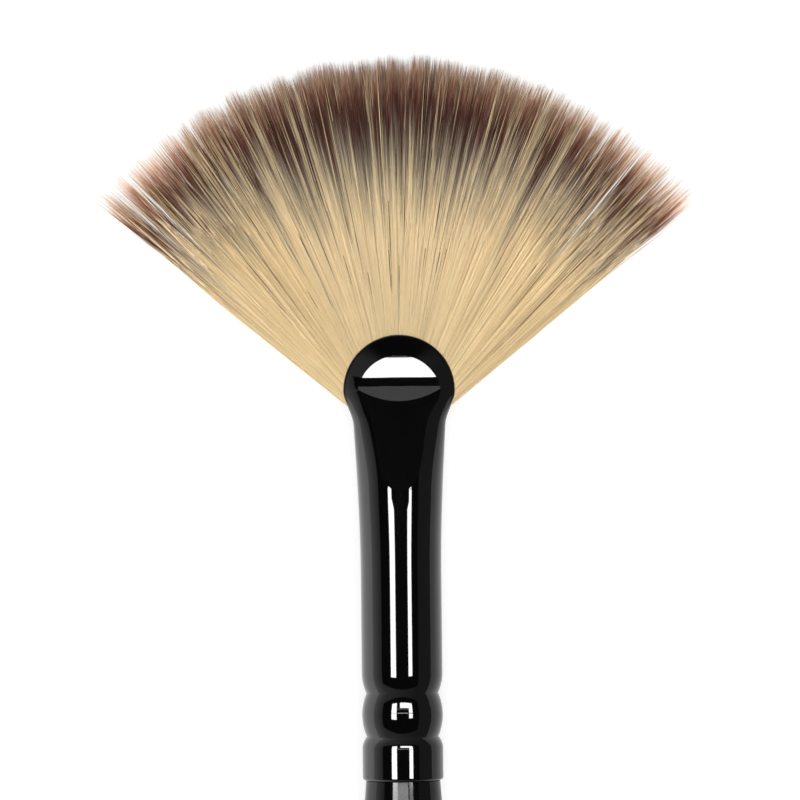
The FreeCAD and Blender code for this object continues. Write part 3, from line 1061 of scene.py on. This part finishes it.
@dataclass
class BristleFan:
    """Thousands of tapered fibres that leave the mouth side by side, spread and gather in tufts."""

    sizes: Sizes
    lie: Lie
    finish: DyedFibre
    fibres_per_layer: int = 4400
    sides: int = 3
    fibre_radius: float = 0.047
    taper: tuple[float, ...] = (0.6, 1.0, 1.0, 0.97, 0.92, 0.86, 0.66, 0.36, 0.0)
    seed: int = 11
    # Distance of the roots from the focus, and the fan's thickness
    root_distance: float = 5.5
    lip_half_thickness: float = 0.34
    swell_half_thickness: float = 0.8
    brow_half_thickness: float = 0.6
    # How the fibres spread and gather
    even_share: float = 0.36
    bell_width: float = 0.46
    tuft_count: int = 100
    wisp_count: int = 280
    # Where they end: past the fan's radius, less a shortfall of a shape and a size
    tuft_reach: float = 0.25
    cut_past: float = 0.15
    longest_past: float = 0.25
    edge_gain: float = 0.25
    shortfall: tuple[float, float] = (1.4, 1.1)
    # Dye: distances from the focus, and depths at the rings of a fibre
    dye_start: float = 25.6
    edge_delay: float = 2.4
    tuft_delay: float = 1.1
    wisp_delay: float = 1.5
    dye_fade: float = 7.6
    early_share: float = 0.03
    early_fade: float = 2.5
    undyed_fibres: tuple[float, float] = (0.05, 0.15)
    undyed_wisps: tuple[float, float] = (0.02, 0.2)
    pale_tip: float = 3.8
    dye_depths: tuple[float, ...] = (0.0, 0.05, 0.2, 0.4, 0.54, 0.70, 0.88, 0.97, 1.0)
    brown_depth: float = 0.86

    @property
    def half_angle(self) -> float:
        """Half of the angle that the fan covers, in radians."""
        return math.radians(self.sizes.fan_half_angle)

    def half_thickness(self, distance: Array) -> Array:
        """Half thickness of the whole fan: it swells beyond the lips and closes towards the tips.

        Args:
            distance: from the focus, in millimetres.

        Returns:
            The half thickness at each distance.
        """
        swelling = smooth_step(distance, 10.8, 22.0)
        closing = smooth_step(distance, 24.0, 39.0)
        grown = self.lip_half_thickness + (self.swell_half_thickness - self.lip_half_thickness) * swelling
        return grown + (self.brow_half_thickness - grown) * closing

    def gatherings(
        self, count: int, unevenness: float, widening: float, draw: np.random.Generator
    ) -> Array:
        """Irregular angles that fibres gather at, from side to side: running sums of uneven steps.

        Args:
            count: how many there are.
            unevenness: how much the steps differ, as a share.
            widening: how much wider they are at the sides, as a share.
            draw: source of the random numbers.

        Returns:
            The angles in rising order.
        """
        steps = np.clip(draw.normal(1.0, unevenness, count + 1), 0.25, None)
        steps = steps * (1.0 + widening * np.linspace(-1.0, 1.0, count + 1) ** 4)
        return -self.half_angle + 2.0 * self.half_angle * np.cumsum(steps)[:-1] / np.sum(steps)

    def angles(self, draw: np.random.Generator) -> Array:
        """Angle of each fibre: some are spread evenly and the others as a bell round the middle.

        Args:
            draw: source of the random numbers.

        Returns:
            One angle for each fibre, in radians.
        """
        half, count = self.half_angle, self.fibres_per_layer
        spread = draw.uniform(-half, half, count)
        bell = draw.normal(0.0, self.bell_width * half, count)
        bell = np.where(np.abs(bell) < half, bell, draw.uniform(-half, half, count))
        return np.where(draw.random(count) < self.even_share, spread, bell)

    def dye(
        self, edge: Array, tuft_delay: Array, wisp: Array, draw: np.random.Generator
    ) -> tuple[Array, Array, Array]:
        """Draw each fibre's dye. A few take it early and a few, more of them at the sides, hardly at all.

        Args:
            edge: how far each fibre is from the middle, as a share of the half angle.
            tuft_delay: how much later its tuft takes the dye.
            wisp: number of its wisp.
            draw: source of the random numbers.

        Returns:
            Distance at which the dye starts, the length it fades in over, and whether it hardly takes.
        """
        count = self.fibres_per_layer
        wisp_delay = draw.normal(0.0, self.wisp_delay, self.wisp_count)[wisp]
        start = self.dye_start + self.edge_delay * edge**2 + tuft_delay + wisp_delay
        start = start + draw.normal(0.0, 0.8, count)
        early = draw.random(count) < self.early_share
        start = np.where(early, draw.uniform(14.0, 21.0, count), start)
        middle, growth = self.undyed_fibres
        undyed = draw.random(count) < middle + growth * edge
        middle, growth = self.undyed_wisps
        undyed = undyed | (draw.random(self.wisp_count)[wisp] < middle + growth * edge)
        fade = np.where(early, self.early_fade, self.dye_fade)
        return start, fade, undyed & ~early

    def strands(self, layer: Layer, draw: np.random.Generator) -> Strands:
        """Draw every fibre's own numbers.

        Args:
            layer: which part of the thickness.
            draw: source of the random numbers.

        Returns:
            The numbers of all the layer's fibres.
        """
        shared = np.random.default_rng(self.seed)
        tufts = self.gatherings(self.tuft_count, unevenness=0.45, widening=1.8, draw=shared)
        tuft_reach = shared.normal(0.0, self.tuft_reach, self.tuft_count)
        tuft_delay = shared.normal(0.0, self.tuft_delay, self.tuft_count)
        wisps = self.gatherings(self.wisp_count, unevenness=0.5, widening=0.4, draw=draw)
        count = self.fibres_per_layer
        angle = self.angles(draw)
        edge = np.abs(angle) / self.half_angle
        tuft = np.abs(angle[:, None] - tufts[None, :]).argmin(axis=1)
        wisp = np.abs(angle[:, None] - wisps[None, :]).argmin(axis=1)
        length = self.sizes.fan_radius + self.cut_past + self.edge_gain * edge**2 + tuft_reach[tuft]
        length = length - draw.gamma(*self.shortfall, count) * (1.0 + 1.1 * edge**2)
        dye_start, dye_fade, undyed = self.dye(edge, tuft_delay[tuft], wisp, draw)
        shade = 0.35 * draw.random(count) + 0.65 * draw.random(self.wisp_count)[wisp]
        return Strands(
            angle=angle,
            tuft=tufts[tuft],
            wisp=wisps[wisp],
            tuft_pull=(0.2 + 0.68 * edge**1.5) * draw.uniform(0.6, 1.15, count),
            wisp_pull=draw.beta(2.0, 1.8, count) * 0.6,
            splay=draw.normal(0.0, 0.005, count) * (1.0 + 1.5 * edge**2),
            level=draw.uniform(*layer.value, count),
            drift=draw.normal(0.0, 0.10, count),
            length=np.minimum(length, self.sizes.fan_radius + self.longest_past),
            dye_start=dye_start,
            dye_fade=dye_fade,
            deepest=np.where(undyed, draw.uniform(0.42, 0.52, count), 1.0),
            # The edge term is painted light: it makes the fibres lighter towards the sides of the fan.
            shade=(shade + 1.3 * edge**2) / 2.5,
            thick=draw.uniform(0.72, 1.2, count),
        )

    def stations(self, own: Strands) -> Array:
        """Distances from the focus at which each fibre has a ring, from the mouth past its dye to its tip.

        Args:
            own: the fibres' own numbers.

        Returns:
            One row of rising distances for each fibre.
        """
        length = own.length
        pale = np.minimum(self.pale_tip, length * 0.1)
        start = np.minimum(own.dye_start, length - pale - 1.6)
        end = np.minimum(start + own.dye_fade, length - pale - 0.8)
        fixed = np.full_like(length, self.root_distance)
        rows = [fixed, fixed + 0.6, np.full_like(length, 11.6), start - 3.4]
        rows += [start + 0.4 * (end - start), end, length - pale, length - 0.45 * pale, length]
        return np.maximum.accumulate(np.stack(rows, axis=1), axis=1)

    def lines(self, own: Strands, distance: Array) -> tuple[Array, Array]:
        """Line of each fibre. It keeps its own angle in the mouth and turns to its wisp and tuft beyond.

        Args:
            own: the fibres' own numbers.
            distance: where each fibre has its rings, from the focus.

        Returns:
            Angle and height over the middle plane at each ring.
        """
        gather = smooth_step(distance, 19.0, 37.0)
        splay = smooth_step(distance, 20.0, 40.0)
        turn = own.angle[:, None] + np.zeros_like(distance)
        turn = turn + (own.wisp[:, None] - turn) * own.wisp_pull[:, None] * gather
        turn = turn + (own.tuft[:, None] - turn) * own.tuft_pull[:, None] * gather
        turn = turn + own.splay[:, None] * splay
        level = own.level[:, None] * self.half_thickness(distance)
        return turn, level + own.drift[:, None] * splay

    def tubes(self, own: Strands) -> Array:
        """Points of all the fibres: each is a slim tube round its line, pointed at both ends.

        Args:
            own: the fibres' own numbers.

        Returns:
            One row of places in the brush's frame for each fibre.
        """
        distance = self.stations(own)
        turn, level = self.lines(own, distance)
        along = self.sizes.focus + distance * np.cos(turn)
        middle = np.stack([distance * np.sin(turn), level, along], axis=-1)
        radius = self.fibre_radius * own.thick[:, None] * np.array(self.taper)
        sideways = np.stack([np.cos(turn), np.zeros_like(turn), -np.sin(turn)], axis=-1)
        corner = np.linspace(0.0, 2.0 * math.pi, self.sides, endpoint=False)
        spin = corner[None, :] + own.shade[:, None] * math.pi
        outward = sideways[:, :, None, :] * np.cos(spin)[:, None, :, None]
        outward = outward + np.array([0.0, 1.0, 0.0]) * np.sin(spin)[:, None, :, None]
        rings = middle[:, 1:-1, None, :] + radius[:, 1:-1, None, None] * outward[:, 1:-1]
        rings = rings.reshape(self.fibres_per_layer, -1, 3)
        return np.concatenate([middle[:, :1], rings, middle[:, -1:]], axis=1)

    def dye_map(self, own: Strands) -> Array:
        """Texture place of every point: how deep the dye is, and the fibre's own shade.

        Args:
            own: the fibres' own numbers.

        Returns:
            One row of two numbers for each point.
        """
        depth = np.repeat(self.dye_depths[1:-1], self.sides)
        depth = np.concatenate([self.dye_depths[:1], depth, self.dye_depths[-1:]])
        paling = smooth_step(own.length, 34.5, 38.0)[:, None]
        palest = self.brown_depth + (1.0 - self.brown_depth) * paling
        depth = np.minimum(np.minimum(depth, palest), own.deepest[:, None])
        shade = np.broadcast_to(own.shade[:, None], depth.shape)
        return np.stack([depth, shade], axis=-1).reshape(-1, 2)

    def build_layer(self, layer: Layer, finish: bpy.types.Material) -> bpy.types.Object:
        """Make all the fibres of one layer as one mesh.

        Args:
            layer: which part of the thickness.
            finish: the fibres' material.

        Returns:
            The new object.
        """
        draw = np.random.default_rng(self.seed + 1 + list(Layer).index(layer))
        own = self.strands(layer, draw)
        points = self.tubes(own)
        place = self.lie.place(points[..., 0], points[..., 1], points[..., 2])
        faces = self.faces(self.fibres_per_layer)
        item = mesh_object(f"fibres_{layer.name.lower()}", place, faces, self.dye_map(own))
        hand_over(item, finish, "bristles")
        return item

    def faces(self, count: int) -> Array:
        """Three-sided faces of all the tubes: a point, rings and a point.

        Args:
            count: how many fibres there are.

        Returns:
            One row of three corner numbers for each face.
        """
        rings = len(self.dye_depths) - 2
        first = np.arange(self.sides)
        following = (first + 1) % self.sides
        last = 1 + rings * self.sides
        root = np.stack([np.zeros_like(first), 1 + following, 1 + first], axis=-1)
        tip_ring = 1 + (rings - 1) * self.sides
        tip = np.stack([tip_ring + first, tip_ring + following, np.full_like(first, last)], axis=-1)
        squares = 1 + grid_faces(rings, self.sides, closed=True)
        halves = np.vstack([squares[:, [0, 1, 2]], squares[:, [0, 2, 3]]])
        one = np.vstack([root, halves, tip])
        return (one[None, :, :] + np.arange(count)[:, None, None] * (last + 1)).reshape(-1, 3)

    def build(self) -> list[bpy.types.Object]:
        """Build the three layers and dress them alike."""
        finish = self.finish.material()
        return [self.build_layer(layer, finish) for layer in Layer]


# Studio
@dataclass(frozen=True)
class Card:
    """A flat lamp overhead, given by the angles off the vertical that it covers seen from the ferrule."""

    name: str
    across: tuple[float, float]
    forward: tuple[float, float]
    radiance: float
    height: float = 1.4
    in_gloss: bool = True
    in_matte: bool = True

    def build(self, target: Array) -> bpy.types.Object:
        """Hang the lamp level over the target, facing down.

        Args:
            target: the place that its angles are measured from, in metres.

        Returns:
            The lamp object.
        """
        left, right = (self.height * math.tan(math.radians(angle)) for angle in self.across)
        back, front = (self.height * math.tan(math.radians(angle)) for angle in self.forward)
        lamp = bpy.data.lights.new(self.name, "AREA")
        lamp.shape = "RECTANGLE"
        lamp.size = right - left
        lamp.size_y = front - back
        lamp.energy = self.radiance * math.pi * lamp.size * lamp.size_y
        item = bpy.data.objects.new(self.name, lamp)
        item.location = target + np.array([(left + right) / 2.0, (back + front) / 2.0, self.height])
        item.visible_glossy = self.in_gloss
        item.visible_diffuse = self.in_matte
        item.visible_camera = False
        bpy.context.scene.collection.objects.link(item)
        return item


@dataclass
class Studio:
    """White table, soft lamps, the ceiling and walls that the gloss mirrors, and the camera above."""

    lie: Lie
    # Camera: what the picture's middle shows, its turn in degrees and its width
    photo_middle: float = 38.04
    photo_across: float = 0.08
    photo_roll: float = 0.6
    photo_width: float = 80.28
    lens: float = 200.0
    sensor: float = 36.0
    # Table, in metres, and its glow
    table_half: float = 1.5
    table_drop: float = 0.0002
    paper: tuple[float, float] = (0.43, 0.47)
    seen_glow: float = 0.66
    mirrored_glow: float = 0.7
    dimming_width: float = 0.05
    # Ceiling borders as slopes from the vertical, and how bright the walls and the rest of the room are
    ceiling_left: float = 1.70
    ceiling_right: float = 1.11
    ceiling_ahead: float = 0.80
    right_wall: float = 0.104
    left_wall_gain: float = 0.192
    low_glow: float = 0.44
    low_height: float = 0.45
    soft_light: float = 0.42

    def floor(self) -> bpy.types.Object:
        """Lay a wide white table under the brush, which keeps a faint shadow.

        It glows a little to the camera, so that it is white there, and lights the brush from below. In the
        gloss it is dimmer to the right, as the walls are.

        Returns:
            The new object.
        """
        kit = MaterialKit("white_table")
        place = kit.place()
        dark, light = ((shade, shade, shade) for shade in self.paper)
        kit.dress("Base Color", kit.ramp(kit.noise(place, 60.0), [(0.0, dark), (1.0, light)]))
        kit.dress("Roughness", 0.9)
        kit.dress("Specular IOR Level", 0.1)
        rays = kit.node("LightPath").outputs
        side = kit.math("MULTIPLY_ADD", kit.split(place)[0], -1.0 / self.dimming_width, 0.5, clamp=True)
        mirrored = kit.math("MULTIPLY", side, self.mirrored_glow)
        mirrored = kit.math("MULTIPLY", rays["Is Glossy Ray"], mirrored)
        glow = kit.math("ADD", kit.math("MULTIPLY", rays["Is Camera Ray"], self.seen_glow), mirrored)
        kit.dress("Emission Color", (1.0, 1.0, 1.0, 1.0))
        kit.dress("Emission Strength", kit.math("ADD", glow, rays["Is Diffuse Ray"]))
        half = self.table_half
        corners = np.array([[-half, -half], [half, -half], [half, half], [-half, half]])
        points = np.hstack([corners, np.full((4, 1), -self.table_drop)])
        item = mesh_object("table", points, np.array([[0, 1, 2, 3]]))
        item.data.materials.append(kit.material)
        return item

    def room(self) -> None:
        """Surround the brush with white for the camera and even light for what isn't glossy.

        The gloss mirrors a dark oblong ceiling instead, which ends between 0.96 and 1.06 of the way to its
        borders, and walls that are paler to the left and lower down.
        """
        world = bpy.data.worlds.new("room")
        world.use_nodes = True
        bpy.context.scene.world = world
        kit = NodeKit(world.node_tree)
        across, forward, up = kit.split(kit.node("TexCoord").outputs["Generated"])
        rise = kit.math("MAXIMUM", up, 0.01)
        slant = kit.math("DIVIDE", across, rise)
        left = kit.math("DIVIDE", slant, -self.ceiling_left)
        right = kit.math("DIVIDE", slant, self.ceiling_right)
        ahead = kit.math("ABSOLUTE", kit.math("DIVIDE", forward, rise))
        ahead = kit.math("DIVIDE", ahead, self.ceiling_ahead)
        beyond = kit.math("MAXIMUM", kit.math("MAXIMUM", left, right), ahead)
        wall = kit.math("MULTIPLY_ADD", beyond, 10.0, -9.6, clamp=True)
        side = kit.math("MULTIPLY_ADD", across, -0.8, 0.5, clamp=True)
        low = kit.math("SUBTRACT", 1.0, kit.math("DIVIDE", up, self.low_height), clamp=True)
        pale = kit.math("MULTIPLY_ADD", side, self.left_wall_gain, self.right_wall)
        glow = kit.math("MULTIPLY", kit.math("MULTIPLY", low, side), self.low_glow)
        mirrored = kit.math("MULTIPLY", wall, kit.math("ADD", pale, glow))
        rays = kit.node("LightPath").outputs
        soft = kit.math("MULTIPLY", kit.math("SUBTRACT", 1.0, rays["Is Glossy Ray"]), self.soft_light)
        level = kit.math("MULTIPLY_ADD", mirrored, rays["Is Glossy Ray"], soft)
        backdrop = kit.node("Background")
        backdrop.inputs["Color"].default_value = (1.0, 1.0, 1.0, 1.0)
        kit.link(kit.math("MAXIMUM", level, rays["Is Camera Ray"]), backdrop.inputs["Strength"])
        kit.link(backdrop.outputs[0], kit.node("OutputWorld").inputs["Surface"])

    def lamps(self) -> None:
        """Soft light for the fibres, and the strips, bar and panel that the gloss mirrors."""
        target = self.lie.place(0.0, 0.0, 30.0)[0]
        cards = [
            Card("soft_overhead", (-24.0, 24.0), (-24.0, 24.0), 3.55, height=1.5, in_gloss=False),
            Card("left_strip_low", (-31.5, -17.0), (-10.0, 4.2), 18.0, in_matte=False),
            Card("left_strip_high", (-31.5, -17.0), (5.3, 27.0), 18.0, in_matte=False),
            Card("right_strip_low", (18.6, 29.5), (-7.0, 4.0), 18.0, in_matte=False),
            Card("right_strip_high", (18.6, 29.5), (5.5, 27.2), 18.0, in_matte=False),
            Card("top_bar", (-7.2, 18.5), (16.0, 27.2), 18.0, in_matte=False),
            Card("grey_panel", (-31.0, 15.4), (4.25, 5.25), 8.4, in_matte=False),
            Card("dim_panel", (-18.0, 16.0), (12.0, 15.5), 0.75, in_matte=False),
        ]
        for card in cards:
            card.build(target)

    def camera(self) -> bpy.types.Object:
        """Look straight down at the ferrule's top, as the photograph does.

        Returns:
            The camera object.
        """
        camera = bpy.data.cameras.new("camera")
        camera.lens = self.lens
        camera.sensor_width = self.sensor
        camera.clip_end = 10.0
        item = bpy.data.objects.new("camera", camera)
        target = self.lie.place(self.photo_across, 0.0, self.photo_middle)[0]
        distance = self.photo_width * MM * self.lens / self.sensor
        item.location = target + np.array([0.0, 0.0, distance])
        item.rotation_euler = (0.0, 0.0, math.radians(-self.photo_roll))
        bpy.context.scene.collection.objects.link(item)
        bpy.context.scene.camera = item
        return item

    def build(self) -> None:
        """Set up the whole studio."""
        self.camera()
        self.floor()
        self.room()
        self.lamps()
        bpy.context.scene.view_settings.view_transform = "Standard"


@dataclass
class GluePlug:
    """Cured glue between the tenon and the roots; the solid itself is shown."""

    finish: Glue = field(default_factory=Glue)

    def build(self) -> bpy.types.Object:
        """Dress the solid.

        Returns:
            The solid's own object.
        """
        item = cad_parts["glue_plug"]
        item.data.materials.clear()
        item.data.materials.append(self.finish.material())
        return item


def main() -> None:
    """Build the studio and every piece in order, and report each piece."""
    logging.basicConfig(level=logging.INFO, format="%(name)s: %(message)s")
    sizes = Sizes()
    lie = Lie(sizes)
    Studio(lie).build()
    enamel = Gloss("black_enamel", (0.0026, 0.0026, 0.003), roughness=0.05, coat=0.5, ripple=0.03)
    lacquer = Gloss("black_lacquer", (0.003, 0.003, 0.003), roughness=0.07, coat=0.0, ripple=0.05)
    pieces = [Ferrule(sizes, lie, enamel).build(), Handle(sizes, lie, lacquer).build()]
    pieces += [*BristleFan(sizes, lie, DyedFibre()).build(), GluePlug().build()]
    for piece in pieces:
        LOG.info("%s: %d faces", piece.name, len(piece.data.polygons))


if __name__ == "__main__":
    main()
